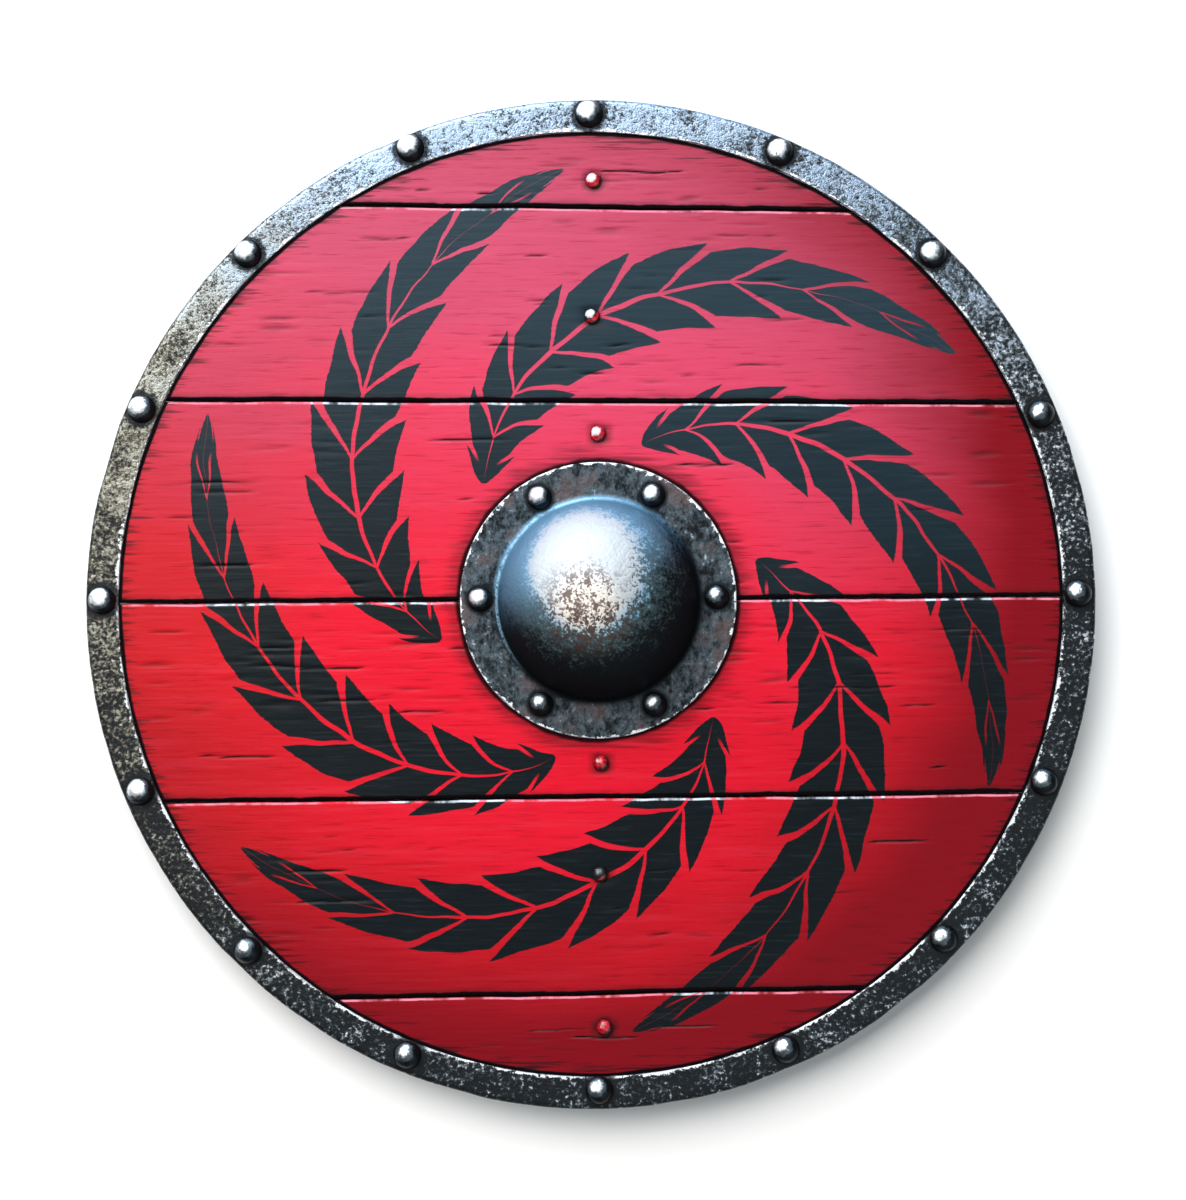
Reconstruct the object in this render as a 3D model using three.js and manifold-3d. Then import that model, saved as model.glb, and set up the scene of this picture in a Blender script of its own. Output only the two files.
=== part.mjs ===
// A round wooden shield, 610 mm across, lying face up on its grip bar.
//
// Six boards lie edge to edge and are nailed to one grip bar that runs across their backs. A folded steel
// rim holds the ends of the boards, with sixteen domed rivets through both of its flanges. A raised steel
// boss covers the hand hole, with six rivets of its own, and the grip bar crosses the hole behind it.
//
// Millimetres. +Z is up, out of the painted face; +Y is towards the top of the shield, across the boards.
// The origin is on the surface that the shield lies on, under the middle of the rim.

import * as THREE from "three";
import { mergeVertices } from "three/addons/utils/BufferGeometryUtils.js";
import Module from "manifold-3d";

// ---------------------------------------------------------------- driving dimensions

const shieldRadius = 305;
const gap = 0.25; // between two pieces that touch

const boardThickness = 12;
// The seams between the six boards, from the top down: where each crosses the middle line, and its tilt in
// degrees. The boards are not quite parallel.
const seams = [
  { y: 239, tilt: -1 },
  { y: 122, tilt: -0.6 },
  { y: 2.5, tilt: 0 },
  { y: -117, tilt: 0.2 },
  { y: -235.5, tilt: 0.6 },
];
const seamWidth = 0.8;
const seamBevel = 1.5; // on the long edges of each board, front side
const handHoleRadius = 54;

const sheet = 1.5; // steel of the rim and of the boss
const rimFrontWidth = 20;
const rimBackWidth = 19;
const rimBend = 3; // outer radius of the fold
const rimRivetCircle = { x: -0.5, y: 1.5, radius: 294.5 };
// The rim rivets clockwise from the top: how many degrees each is past its even place.
const rimRivetDrift = [0.3, 0.8, 0, 0.3, -0.6, -0.5, -1, -0.7, -0.7, -0.1, -0.1, 0.1, 0.6, 1.2, 0.9, 1.3];

const bossCentre = { x: 4.5, y: 2.5 }; // the boss, hand hole, grip and nails are a little off the rim's centre
const bossFlangeRadius = 83.5;
const domeRadius = 60;
const domeHeight = 50;
const domeFillet = 5;
const bossRivetCircle = 71.5;
const bossRivetDrift = [-2.1, -1.3, 1.9, -0.6, 0.9, 0.6];

const gripThickness = 15.75;
const gripHalfLength = 270;
const gripHalfWidth = 22;
const gripEndHalfWidth = 15;
const gripNeckHalfWidth = 15; // where the hand closes round it
const gripNeckHalfLength = 46;
const gripShoulder = 76; // the bar is at its full width from here outwards
const gripEdge = 3;
// One nail in each board, from the top board down.
const nails = [
  { x: 3.5, y: 256 },
  { x: 2, y: 174 },
  { x: 5, y: 103 },
  { x: 5.5, y: -96 },
  { x: 4.5, y: -163 },
  { x: 6.5, y: -255.5 },
];
const nailSinkRadius = 5.5;
const nailSinkDepth = 3;

const ringSides = 64;
const domeSides = 36;
const rivetSides = 10;

// ---------------------------------------------------------------- levels, all worked out from the sizes above

const boardBack = gripThickness + gap;
const boardFront = boardBack + boardThickness;
const boardRadius = shieldRadius - sheet - gap;
const frontSheetTop = boardFront + gap + sheet; // outer face of the rim's front flange and of the boss flange
const rimBackFace = boardBack - gap - sheet; // outer face of the rim's back flange
const centre = new THREE.Vector2(bossCentre.x, bossCentre.y);

const rimRivet = { head: 8.5, headHeight: 6.5, shank: 3, tail: 5.5, tailHeight: 2 };
const bossRivet = { head: 7.5, headHeight: 6, shank: 2.5, tail: 5.5, tailHeight: 2 };
const boardNail = { head: 5.25, headHeight: 3.5, shank: 2, tail: 4.5, tailHeight: 2 };

// ---------------------------------------------------------------- materials

const paintedWood = new THREE.MeshStandardMaterial({ color: 0xb3202f, roughness: 0.55, metalness: 0 });
const bareWood = new THREE.MeshStandardMaterial({ color: 0x6b4a2e, roughness: 0.75, metalness: 0 });
const rimSteel = new THREE.MeshStandardMaterial({ color: 0x7d8084, roughness: 0.5, metalness: 1 });
const bossSteel = new THREE.MeshStandardMaterial({ color: 0x5f676d, roughness: 0.35, metalness: 1 });
const rivetSteel = new THREE.MeshStandardMaterial({ color: 0x9a9ea1, roughness: 0.35, metalness: 1 });
const paintedNail = new THREE.MeshStandardMaterial({ color: 0xa81f35, roughness: 0.45, metalness: 0.3 });

// ---------------------------------------------------------------- solids

const wasm = await Module();
wasm.setup();

function solidOf(geometry) {
  const bare = geometry.clone();
  bare.deleteAttribute("normal");
  bare.deleteAttribute("uv");
  const merged = mergeVertices(bare, 1e-3);
  return new wasm.Manifold(
    new wasm.Mesh({
      numProp: 3,
      vertProperties: merged.attributes.position.array,
      triVerts: new Uint32Array(merged.index.array),
    }),
  );
}

function geometryOf(solid) {
  const mesh = solid.getMesh();
  const geometry = new THREE.BufferGeometry();
  geometry.setAttribute("position", new THREE.BufferAttribute(new Float32Array(mesh.vertProperties), 3));
  geometry.setIndex(new THREE.BufferAttribute(new Uint32Array(mesh.triVerts), 1));
  geometry.computeVertexNormals();
  return geometry;
}

// A profile of [radius, z] points turned about the Z axis.
function turned(profile, sides) {
  const points = profile.map(([radius, z]) => new THREE.Vector2(radius, z));
  return new THREE.LatheGeometry(points, sides).rotateX(Math.PI / 2);
}

// Points [radius, z] along an arc from one angle to another, both ends included, angles in degrees.
function arc(centreRadius, centreZ, radiusAcross, radiusUp, from, to, steps) {
  return Array.from({ length: steps + 1 }, (_, i) => {
    const angle = THREE.MathUtils.degToRad(from + ((to - from) * i) / steps);
    return [centreRadius + radiusAcross * Math.cos(angle), centreZ + radiusUp * Math.sin(angle)];
  });
}

// Places round a circle, clockwise from the first angle. Each drifts from its even place by its own degrees.
function ringPlaces(drifts, radius, middle, firstAngle = 90) {
  return drifts.map((drift, i) => {
    const angle = THREE.MathUtils.degToRad(firstAngle - (360 * i) / drifts.length - drift);
    return new THREE.Vector2(middle.x + radius * Math.cos(angle), middle.y + radius * Math.sin(angle));
  });
}

// A six-sided punch that leaves the clearance gap round a shank of this radius.
function punch(place, shankRadius) {
  const corner = (shankRadius + gap) / Math.cos(Math.PI / 6);
  const tall = 2 * boardFront;
  const shaft = new THREE.CylinderGeometry(corner, corner, tall, 6).rotateX(Math.PI / 2);
  return solidOf(shaft.translate(place.x, place.y, boardFront - gripThickness));
}

function punched(solid, places, shankRadius) {
  return places.reduce((body, place) => body.subtract(punch(place, shankRadius)), solid);
}

// ---------------------------------------------------------------- where the fasteners go

const rimRivetPlaces = ringPlaces(rimRivetDrift, rimRivetCircle.radius, rimRivetCircle);
const bossRivetPlaces = ringPlaces(bossRivetDrift, bossRivetCircle, centre, 60);
const nailPlaces = nails.map(({ x, y }) => new THREE.Vector2(x, y));

// ---------------------------------------------------------------- boards

function boardsDisc() {
  const profile = [
    [0, boardBack],
    [boardRadius - seamBevel, boardBack],
    [boardRadius, boardBack + seamBevel],
    [boardRadius, boardFront - seamBevel],
    [boardRadius - seamBevel, boardFront],
    [0, boardFront],
  ];
  const hole = new THREE.CylinderGeometry(handHoleRadius, handHoleRadius, 3 * boardThickness, 32)
    .rotateX(Math.PI / 2)
    .translate(centre.x, centre.y, boardFront);
  let disc = solidOf(turned(profile, ringSides)).subtract(solidOf(hole));
  disc = punched(disc, rimRivetPlaces, rimRivet.shank);
  disc = punched(disc, bossRivetPlaces, bossRivet.shank);
  return punched(disc, nailPlaces, boardNail.shank);
}

// All the timber on one side of a seam, with its front edge bevelled. side is 1 above the seam, -1 below.
function besideSeam({ y, tilt }, side) {
  const edge = seamWidth / 2;
  const far = 2 * shieldRadius;
  const section = [
    [edge, boardBack],
    [far, boardBack],
    [far, boardFront],
    [edge + seamBevel, boardFront],
    [edge, boardFront - seamBevel],
  ].map(([across, z]) => new THREE.Vector2(side * across, z));
  const length = 2 * shieldRadius + boardThickness;
  const timber = new THREE.ExtrudeGeometry(new THREE.Shape(section), { depth: length, bevelEnabled: false });
  // The section's own axes are Y and Z, so it is turned to run along X.
  timber.rotateX(Math.PI / 2).rotateZ(Math.PI / 2).translate(-length / 2, 0, 0);
  return solidOf(timber.rotateZ(THREE.MathUtils.degToRad(tilt)).translate(0, y, 0));
}

// ---------------------------------------------------------------- rim

function rimSolid() {
  const fold = rimBend - sheet;
  const outerCentre = shieldRadius - rimBend;
  const frontInside = boardFront + gap;
  const backInside = boardBack - gap;
  const profile = [
    [shieldRadius - rimFrontWidth, frontInside],
    [shieldRadius - rimFrontWidth, frontSheetTop],
    ...arc(outerCentre, frontSheetTop - rimBend, rimBend, rimBend, 90, 0, 2),
    ...arc(outerCentre, rimBackFace + rimBend, rimBend, rimBend, 0, -90, 2),
    [shieldRadius - rimBackWidth, rimBackFace],
    [shieldRadius - rimBackWidth, backInside],
    [outerCentre, backInside],
    [outerCentre + fold, backInside + fold],
    [outerCentre + fold, frontInside - fold],
    [outerCentre, frontInside],
    [shieldRadius - rimFrontWidth, frontInside],
  ].reverse();
  return punched(solidOf(turned(profile, ringSides)), rimRivetPlaces, rimRivet.shank);
}

// ---------------------------------------------------------------- boss

function bossSolid() {
  const base = frontSheetTop;
  const outerStart = THREE.MathUtils.radToDeg(Math.asin(domeFillet / domeHeight));
  const innerStart = THREE.MathUtils.radToDeg(Math.asin(domeFillet / (domeHeight - sheet)));
  const wallRadius = domeRadius * Math.cos(THREE.MathUtils.degToRad(outerStart));
  const filletCentre = wallRadius + domeFillet;
  const outside = [
    [bossFlangeRadius, base],
    ...arc(filletCentre, base + domeFillet, domeFillet, domeFillet, 270, 180, 2),
    ...arc(0, base, domeRadius, domeHeight, outerStart, 90, 5).slice(1),
  ];
  const insideFillet = domeFillet + sheet;
  const inside = [
    [bossFlangeRadius, base - sheet],
    ...arc(filletCentre, base + domeFillet, insideFillet, insideFillet, 270, 180, 2),
    ...arc(0, base, domeRadius - sheet, domeHeight - sheet, innerStart, 90, 4).slice(1),
  ];
  for (const side of [outside, inside]) side.at(-1)[0] = 0; // the crown lies on the axis
  const shell = turned([...inside.reverse(), ...outside], domeSides).translate(centre.x, centre.y, 0);
  return punched(solidOf(shell), bossRivetPlaces, bossRivet.shank);
}

// ---------------------------------------------------------------- grip bar

function gripSolid() {
  const outline = new THREE.Shape();
  const tipCorner = gripHalfLength - gripEndHalfWidth / 2;
  const tipControl = tipCorner + (4 / 3) * (gripHalfLength - tipCorner); // puts the curve's end at full length
  // One long side at a time: 1 goes up the right side, -1 comes back down the left.
  outline.moveTo(gripEndHalfWidth, -tipCorner);
  for (const side of [1, -1]) {
    const [full, neck, end] = [gripHalfWidth, gripNeckHalfWidth, gripEndHalfWidth].map((w) => w * side);
    const [shoulder, necked, corner] = [gripShoulder, gripNeckHalfLength, tipCorner].map((y) => y * side);
    const halfway = (shoulder + necked) / 2;
    outline.lineTo(full, -shoulder);
    outline.bezierCurveTo(full, -halfway, neck, -halfway, neck, -necked);
    outline.lineTo(neck, necked);
    outline.bezierCurveTo(neck, halfway, full, halfway, full, shoulder);
    outline.lineTo(end, corner);
    outline.bezierCurveTo(end, tipControl * side, -end, tipControl * side, -end, corner);
  }
  const bar = new THREE.ExtrudeGeometry(outline, {
    depth: gripThickness - 2 * gripEdge,
    bevelThickness: gripEdge,
    bevelSize: gripEdge,
    bevelOffset: -gripEdge,
    bevelSegments: 1,
    curveSegments: 4,
  }).translate(centre.x, 0, gripEdge);
  const sink = [
    [0, -1],
    [nailSinkRadius, -1],
    [nailSinkRadius, nailSinkDepth],
    [0, nailSinkDepth],
  ];
  const body = punched(solidOf(bar), nailPlaces, boardNail.shank);
  return nailPlaces.reduce(
    (left, place) => left.subtract(solidOf(turned(sink, rivetSides).translate(place.x, place.y, 0))),
    body,
  );
}

// ---------------------------------------------------------------- rivets and nails

// One turned piece: a domed head on the front, a shank, and a hammered tail behind.
// seat is the level under the head and foot the level above the tail.
function fastener(size, seat, foot) {
  const dome = arc(0, seat, size.head, size.headHeight, 0, 90, 3);
  dome.at(-1)[0] = 0;
  const profile = [
    [0, foot - size.tailHeight],
    [0.75 * size.tail, foot - 0.8 * size.tailHeight],
    [size.tail, foot],
    [size.shank, foot],
    [size.shank, seat],
    ...dome,
  ];
  return turned(profile, rivetSides);
}

// ---------------------------------------------------------------- the shield

const shield = new THREE.Group();
shield.name = "round_shield";

function addPiece(name, geometry, material) {
  const piece = new THREE.Mesh(geometry, material);
  piece.name = name;
  shield.add(piece);
  return piece;
}

const disc = boardsDisc();
for (let i = 0; i <= seams.length; i++) {
  let board = disc;
  if (i > 0) board = board.intersect(besideSeam(seams[i - 1], -1));
  if (i < seams.length) board = board.intersect(besideSeam(seams[i], 1));
  addPiece(`board_${i + 1}`, geometryOf(board), paintedWood);
}

addPiece("rim", geometryOf(rimSolid()), rimSteel);
addPiece("boss", geometryOf(bossSolid()), bossSteel);
addPiece("grip", geometryOf(gripSolid()), bareWood);

function addFasteners(name, places, geometry, material) {
  places.forEach((place, i) => {
    const number = String(i + 1).padStart(places.length > 9 ? 2 : 1, "0");
    addPiece(`${name}_${number}`, geometry.clone(), material).position.set(place.x, place.y, 0);
  });
}

const headSeat = frontSheetTop + gap;
addFasteners("rim_rivet", rimRivetPlaces, fastener(rimRivet, headSeat, rimBackFace - gap), rivetSteel);
addFasteners("boss_rivet", bossRivetPlaces, fastener(bossRivet, headSeat, boardBack - gap), rivetSteel);
addFasteners(
  "board_nail",
  nailPlaces,
  fastener(boardNail, boardFront + gap, nailSinkDepth - gap),
  paintedNail,
);

export default shield;
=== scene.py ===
"""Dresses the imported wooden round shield: boards, rim, boss, grip, rivets, nails, and the studio round it.

The file is laid out as an add-on and run as a script. All lengths are in metres unless a name says mm.
"""

import math
import random

import bmesh
import bpy
from mathutils import Euler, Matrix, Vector, noise


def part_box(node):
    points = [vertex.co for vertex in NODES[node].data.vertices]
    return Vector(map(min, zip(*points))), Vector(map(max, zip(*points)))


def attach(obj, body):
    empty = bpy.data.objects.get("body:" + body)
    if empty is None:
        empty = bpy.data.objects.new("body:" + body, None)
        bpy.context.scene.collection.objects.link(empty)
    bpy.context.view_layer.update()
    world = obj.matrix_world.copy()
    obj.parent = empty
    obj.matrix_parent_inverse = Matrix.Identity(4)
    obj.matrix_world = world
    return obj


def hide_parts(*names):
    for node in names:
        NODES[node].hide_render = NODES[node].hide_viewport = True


bl_info = {
    "name": "Wooden Round Shield",
    "version": (1, 0, 0),
    "blender": (4, 5, 0),
    "location": "3D View > Sidebar > Shield",
    "description": "Models and finishes a painted wooden round shield round its packed frame",
    "category": "Object",
}

MM = 0.001
UP = Vector((0, 0, 1))

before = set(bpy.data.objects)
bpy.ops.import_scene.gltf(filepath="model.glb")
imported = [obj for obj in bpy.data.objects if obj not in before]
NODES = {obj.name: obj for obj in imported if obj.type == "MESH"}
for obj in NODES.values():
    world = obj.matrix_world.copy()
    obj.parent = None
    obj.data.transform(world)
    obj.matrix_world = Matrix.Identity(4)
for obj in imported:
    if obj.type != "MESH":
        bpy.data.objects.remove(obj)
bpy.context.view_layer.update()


def node_names(beginning):
    """The frame's nodes whose names start that way, in order."""
    return sorted(name for name in NODES if name.startswith(beginning))


BOARDS = node_names("board_")[: -len(node_names("board_nail_"))]
NAILS = node_names("board_nail_")
RIM_RIVETS = node_names("rim_rivet_")
BOSS_RIVETS = node_names("boss_rivet_")

BOARD_LOW, BOARD_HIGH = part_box(BOARDS[0])
RIM_LOW, RIM_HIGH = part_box("rim")
BOSS_LOW, BOSS_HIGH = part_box("boss")
GRIP_LOW, GRIP_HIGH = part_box("grip")
SHIELD_RADIUS = RIM_HIGH.x
BOARD_RADIUS = BOARD_HIGH.y
BOARD_BACK = BOARD_LOW.z
BOARD_FRONT = BOARD_HIGH.z
HALF_SEAM = 0.4 * MM
# Where each seam crosses the middle line, in millimetres, and its tilt in degrees, from the top down.
SEAMS = ((239, -1.0), (122, -0.6), (2.5, 0.0), (-117, 0.2), (-235.5, 0.6))
SHEET_TOP = RIM_HIGH.z
BOSS_CENTRE = Vector(((BOSS_LOW.x + BOSS_HIGH.x) / 2, (BOSS_LOW.y + BOSS_HIGH.y) / 2, 0))
FLANGE_RADIUS = (BOSS_HIGH.x - BOSS_LOW.x) / 2


def middle_of(node):
    """The point at level 0 on the node's upright axis."""
    low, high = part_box(node)
    return Vector(((low.x + high.x) / 2, (low.y + high.y) / 2, 0))


RIM_RIVET_PLACES = [middle_of(name) for name in RIM_RIVETS]
BOSS_RIVET_PLACES = [middle_of(name) for name in BOSS_RIVETS]


# ---------------------------------------------------------------- sizes and colours a user would change


def number(title, note, default, **kind):
    """A number property."""
    return bpy.props.FloatProperty(name=title, description=note, default=default, **kind)


def length(title, note, default):
    """A length property in metres."""
    return number(title, note, default, unit="LENGTH", precision=5)


def count(title, note, default):
    """A whole-number property."""
    return bpy.props.IntProperty(name=title, description=note, default=default, min=1)


def colour(title, note, default):
    """A colour property, in linear light."""
    return bpy.props.FloatVectorProperty(
        name=title, description=note, default=default, size=3, subtype="COLOR", min=0, max=1
    )


class BoardSettings(bpy.types.PropertyGroup):
    """Sizes and paint of the six boards."""

    front_bevel: length("Front bevel", "Chamfer along each board's front edges", 1.5 * MM)
    back_bevel: length("Back bevel", "Chamfer along each board's back edges", 0.8 * MM)
    hand_hole: length("Hand hole radius", "Hole behind the boss, cut from the two middle boards", 54 * MM)
    seam_wander: length("Seam wander", "How far the hand-planed seams leave a straight line", 0.7 * MM)
    grain_relief: length("Grain relief", "Height of the raised grain", 0.06 * MM)
    gouge_depth: length("Gouge depth", "Depth of the short gouges along the grain", 0.38 * MM)
    crack_depth: length("Crack depth", "Depth of the drying cracks", 0.9 * MM)
    cracks: count("Cracks", "Number of drying cracks over the whole face", 90)
    columns: count("Columns", "Steps along a board", 300)
    rows: count("Rows", "Steps across a full board's front", 140)
    bright_red: colour("Bright red", "Fresh paint", (0.60, 0.004, 0.020))
    warm_red: colour("Warm red", "Paint towards the rim", (0.49, 0.006, 0.008))
    # Deep red also paints the shade towards the face's edge, most at the lower right.
    deep_red: colour("Deep red", "Older, darker paint", (0.175, 0.001, 0.006))
    dry_pink: colour("Dry pink", "Thin paint brushed over the grain", (0.60, 0.022, 0.045))
    # Painted sheen: sheen pink and sheen teal paint a cool pale haze over the upper boards, on the red and
    # on the black, in the place of the glossy reflection of the light above.
    sheen_pink: colour("Chalk", "Sun-bleached bloom on the upper boards", (0.27, 0.19, 0.40))
    sheen_teal: colour("Teal streak", "Bleached black paint on the upper boards", (0.020, 0.055, 0.080))
    # Thin paint and highlight, and pale edge, paint the lit upper bevel of each board below a seam, partly
    # rubbed paint and partly painted highlight; pale edge also paints the highlight on the nail heads.
    thin_paint_and_highlight: colour("Thin paint", "Red paint rubbed thin along a board's upper edge", (0.62, 0.17, 0.24))
    pale_edge: colour("Worn edge", "Black paint rubbed through along an upper edge", (0.55, 0.60, 0.68))
    black_paint: colour("Black paint", "Paint of the whirl", (0.002, 0.005, 0.007))
    grey_streak: colour("Grey streak", "Thin places in the black paint", (0.008, 0.013, 0.017))
    # Soot and shade: sooty dirt in gouges and cracks, and also the painted shade and shadow lines along the
    # seams, the rim and the boss, round the nails and on the lower right of the nail heads.
    soot_and_shade: colour("Soot", "Grime in seams and along the iron", (0.003, 0.002, 0.003))
    timber: colour("Timber", "Bare wood on the back", (0.20, 0.118, 0.062))
    dark_timber: colour("Dark timber", "Dark grain of the bare wood", (0.085, 0.047, 0.024))


class WhirlSettings(bpy.types.PropertyGroup):
    """The painted whirl of feathered arms round the boss."""

    arms: count("Arms", "Number of arms", 6)
    feathers: number("Feathers", "Feathers along an arm", 9.0)
    start: length("Start radius", "Where the arms begin, from the boss's centre", 98 * MM)
    end: length("End radius", "Where the arms end, from the boss's centre", 262 * MM)
    half_width: length("Half width", "Greatest half width of an arm", 31 * MM)
    cut: length("Cut", "Width of the bare lines between feathers", 1.7 * MM)
    twist: number("Twist", "Turn of an arm from its start to its end", math.radians(100), unit="ROTATION")
    phase: number("Phase", "Turns the whole whirl, in arms", 0.268)


class SteelSettings(bpy.types.PropertyGroup):
    """Sizes and finish of the rim, the boss and their rivets."""

    front_width: length("Rim front width", "Width of the rim's front flange", 20 * MM)
    back_width: length("Rim back width", "Width of the rim's back flange", 19 * MM)
    sheet: length("Sheet", "Thickness of the rim and of the boss", 1.5 * MM)
    fold: length("Fold radius", "Outer radius of the rim's two folds", 3 * MM)
    edge_wander: length("Edge wander", "How far the rim's inner edge leaves a true circle", 0.75 * MM)
    outline_dents: length("Outline dents", "Depth of the dents in the rim's outline", 0.55 * MM)
    hammer_depth: length("Hammer depth", "Depth of the hammer marks", 0.34 * MM)
    pit_depth: length("Pit depth", "Depth of the rust pits", 0.16 * MM)
    dome_radius: length("Dome radius", "Radius of the boss's dome at its foot", 60 * MM)
    dome_fillet: length("Dome fillet", "Fillet between dome and flange", 5 * MM)
    rim_steps: count("Rim steps", "Steps round the rim", 1100)
    boss_steps: count("Boss steps", "Steps round the boss", 360)
    # Black steel also paints shade: rings round the rivets, the lower right of the rivet heads, and the dark
    # lower right of the rim and of the dome.
    black_steel: colour("Black steel", "Scale left in the hollows", (0.011, 0.013, 0.015))
    slate_steel: colour("Slate steel", "Dull, darkened steel", (0.085, 0.110, 0.130))
    # Bright steel also paints the highlight on the upper left of the rivet heads.
    bright_steel: colour("Bright steel", "Steel rubbed bright", (0.80, 0.84, 0.88))
    warm_steel: colour("Warm steel", "Steel with a trace of old rust", (0.72, 0.65, 0.58))
    # Painted light: warm lit dull steel tints the dull steel on the left of the rim, in the place of a warm
    # light from the left.
    warm_lit_dull_steel: colour("Umber steel", "Dull hollows on the left of the rim", (0.105, 0.098, 0.080))
    # Painted highlight: the pale patch on the dome, up and to the left, stands in for the key light's
    # reflection as well as polish.
    polish_and_highlight_steel: colour("Polished steel", "Top of the dome", (0.44, 0.47, 0.50))
    # Painted light: pale lit steel paints the top of the rim pale and cool, and warm lit steel paints the
    # left of the rim warm, in the place of the cool light above and a warm light from the left.
    pale_lit_steel: colour("Pale steel", "Weathered top of the rim", (0.24, 0.32, 0.43))
    warm_lit_steel: colour("Olive steel", "Weathered left of the rim", (0.235, 0.24, 0.205))
    # Blue steel also paints the cool light's reflection round the dome's pale patch and on its lit side.
    blue_steel: colour("Blue steel", "Steel with a blue cast", (0.17, 0.37, 0.57))
    blue_light: colour("Blue light", "Light line along the lit foot of the dome", (0.34, 0.58, 0.78))
    # Dull steel and black steel paint the dome's lower right: painted shade with patina.
    dull_steel: colour("Dull steel", "Dark steel low on the dome", (0.075, 0.115, 0.130))
    old_rust: colour("Old rust", "Brown left in pits", (0.10, 0.055, 0.045))


class StudioSettings(bpy.types.PropertyGroup):
    """Floor, light and camera."""

    key_power: number("Key power", "Power of the big soft light", 172.0)
    key_width: length("Key width", "Width of the big soft light", 3.4)
    low_power: number("Low power", "Power of the low, cool light", 28.0)
    far_power: number("Far power", "Power of the weak far light", 16.0)
    fill: number("Fill", "Brightness of the surroundings", 0.03)
    focal_length: number("Focal length", "In millimetres", 100.0)
    view_height: length("View height", "Height of the field of view at the boards' front", 0.7245)
    floor_size: length("Floor size", "Side of the floor", 24.0)
    floor_tone: colour("Floor tone", "Pale floor", (0.95, 0.95, 0.95))


class ShieldSettings(bpy.types.PropertyGroup):
    """All settings of the shield."""

    boards: bpy.props.PointerProperty(type=BoardSettings)
    whirl: bpy.props.PointerProperty(type=WhirlSettings)
    steel: bpy.props.PointerProperty(type=SteelSettings)
    studio: bpy.props.PointerProperty(type=StudioSettings)


def settings():
    """The scene's shield settings."""
    return bpy.context.scene.round_shield


# ---------------------------------------------------------------- modelling helpers


def smooth_step(value, low, high):
    """0 below low, 1 above high, and a soft rise between them."""
    share = min(max((value - low) / (high - low), 0), 1)
    return share * share * (3 - 2 * share)


def wander(x, y, seed):
    """Smooth noise from -1 to 1 at a point of the plane."""
    return noise.noise(Vector((x, y, seed)))


def start_fresh():
    """Leaves edit mode and deselects everything, so that the next operator acts on new work alone."""
    if bpy.context.active_object and bpy.context.active_object.mode != "OBJECT":
        bpy.ops.object.mode_set(mode="OBJECT")
    bpy.ops.object.select_all(action="DESELECT")


def choose(piece):
    """Makes the piece the only selected and active object."""
    start_fresh()
    piece.select_set(True)
    bpy.context.view_layer.objects.active = piece


def settle(piece):
    """Moves the object's place, turn and scale into its mesh."""
    choose(piece)
    bpy.ops.object.transform_apply(location=True, rotation=True, scale=True)


def add_block(name, low, high):
    """A closed box between two corners."""
    start_fresh()
    bpy.ops.mesh.primitive_cube_add(size=1, location=(low + high) / 2, scale=high - low)
    block = bpy.context.active_object
    block.name = name
    settle(block)
    return block


def add_cylinder(name, centre, radius, bottom, top, sides):
    """A closed upright cylinder."""
    start_fresh()
    place = (centre.x, centre.y, (bottom + top) / 2)
    bpy.ops.mesh.primitive_cylinder_add(vertices=sides, radius=radius, depth=top - bottom, location=place)
    cylinder = bpy.context.active_object
    cylinder.name = name
    settle(cylinder)
    return cylinder


def edit(piece):
    """Enters edit mode on the piece, with nothing selected."""
    choose(piece)
    bpy.ops.object.mode_set(mode="EDIT")
    bpy.ops.mesh.select_all(action="DESELECT")


def pick_edges(piece, wanted):
    """Selects just the edges that wanted(first end, second end) accepts. Works in edit mode."""
    bpy.ops.mesh.select_mode(type="EDGE")
    bpy.ops.mesh.select_all(action="DESELECT")
    form = bmesh.from_edit_mesh(piece.data)
    for edge in form.edges:
        if wanted(edge.verts[0].co, edge.verts[1].co):
            edge.select_set(True)
    bmesh.update_edit_mesh(piece.data)


def runs_along(axis):
    """A test for edges that lie along an axis, with a further test of the edge's middle."""

    def test(where):
        def accepts(first, second):
            step = second - first
            return abs(step[axis]) > 0.999 * step.length and where((first + second) / 2)

        return accepts

    return test


def cut_with(piece, tool, operation):
    """Cuts the piece with the tool and removes the tool."""
    choose(piece)
    bpy.ops.object.modifier_add(type="BOOLEAN")
    cut = piece.modifiers[-1]
    cut.operation = operation
    cut.object = tool
    cut.solver = "EXACT"
    bpy.ops.object.modifier_apply(modifier=cut.name)
    mesh = tool.data
    bpy.data.objects.remove(tool)
    bpy.data.meshes.remove(mesh)


def sculpt(piece, moved):
    """Moves each point of the piece to moved(place, normal)."""
    mesh = piece.data
    normals = [vertex.normal.copy() for vertex in mesh.vertices]
    for vertex, normal in zip(mesh.vertices, normals):
        vertex.co = moved(vertex.co.copy(), normal)
    mesh.update()


def stain(piece, name, depth_at):
    """Stores depth_at(place) as a number on each point, which a material can read."""
    marks = piece.data.attributes.new(name, "FLOAT", "POINT")
    marks.data.foreach_set("value", [depth_at(vertex.co) for vertex in piece.data.vertices])


def mend(piece):
    """Merges doubled points and turns every face outwards."""
    edit(piece)
    bpy.ops.mesh.select_all(action="SELECT")
    bpy.ops.mesh.remove_doubles(threshold=0.005 * MM)
    bpy.ops.mesh.normals_make_consistent(inside=False)
    bpy.ops.object.mode_set(mode="OBJECT")


def soften(piece, degrees):
    """Shades the piece smooth, with edges sharper than the angle left crisp."""
    choose(piece)
    bpy.ops.object.shade_smooth_by_angle(angle=math.radians(degrees))


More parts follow.
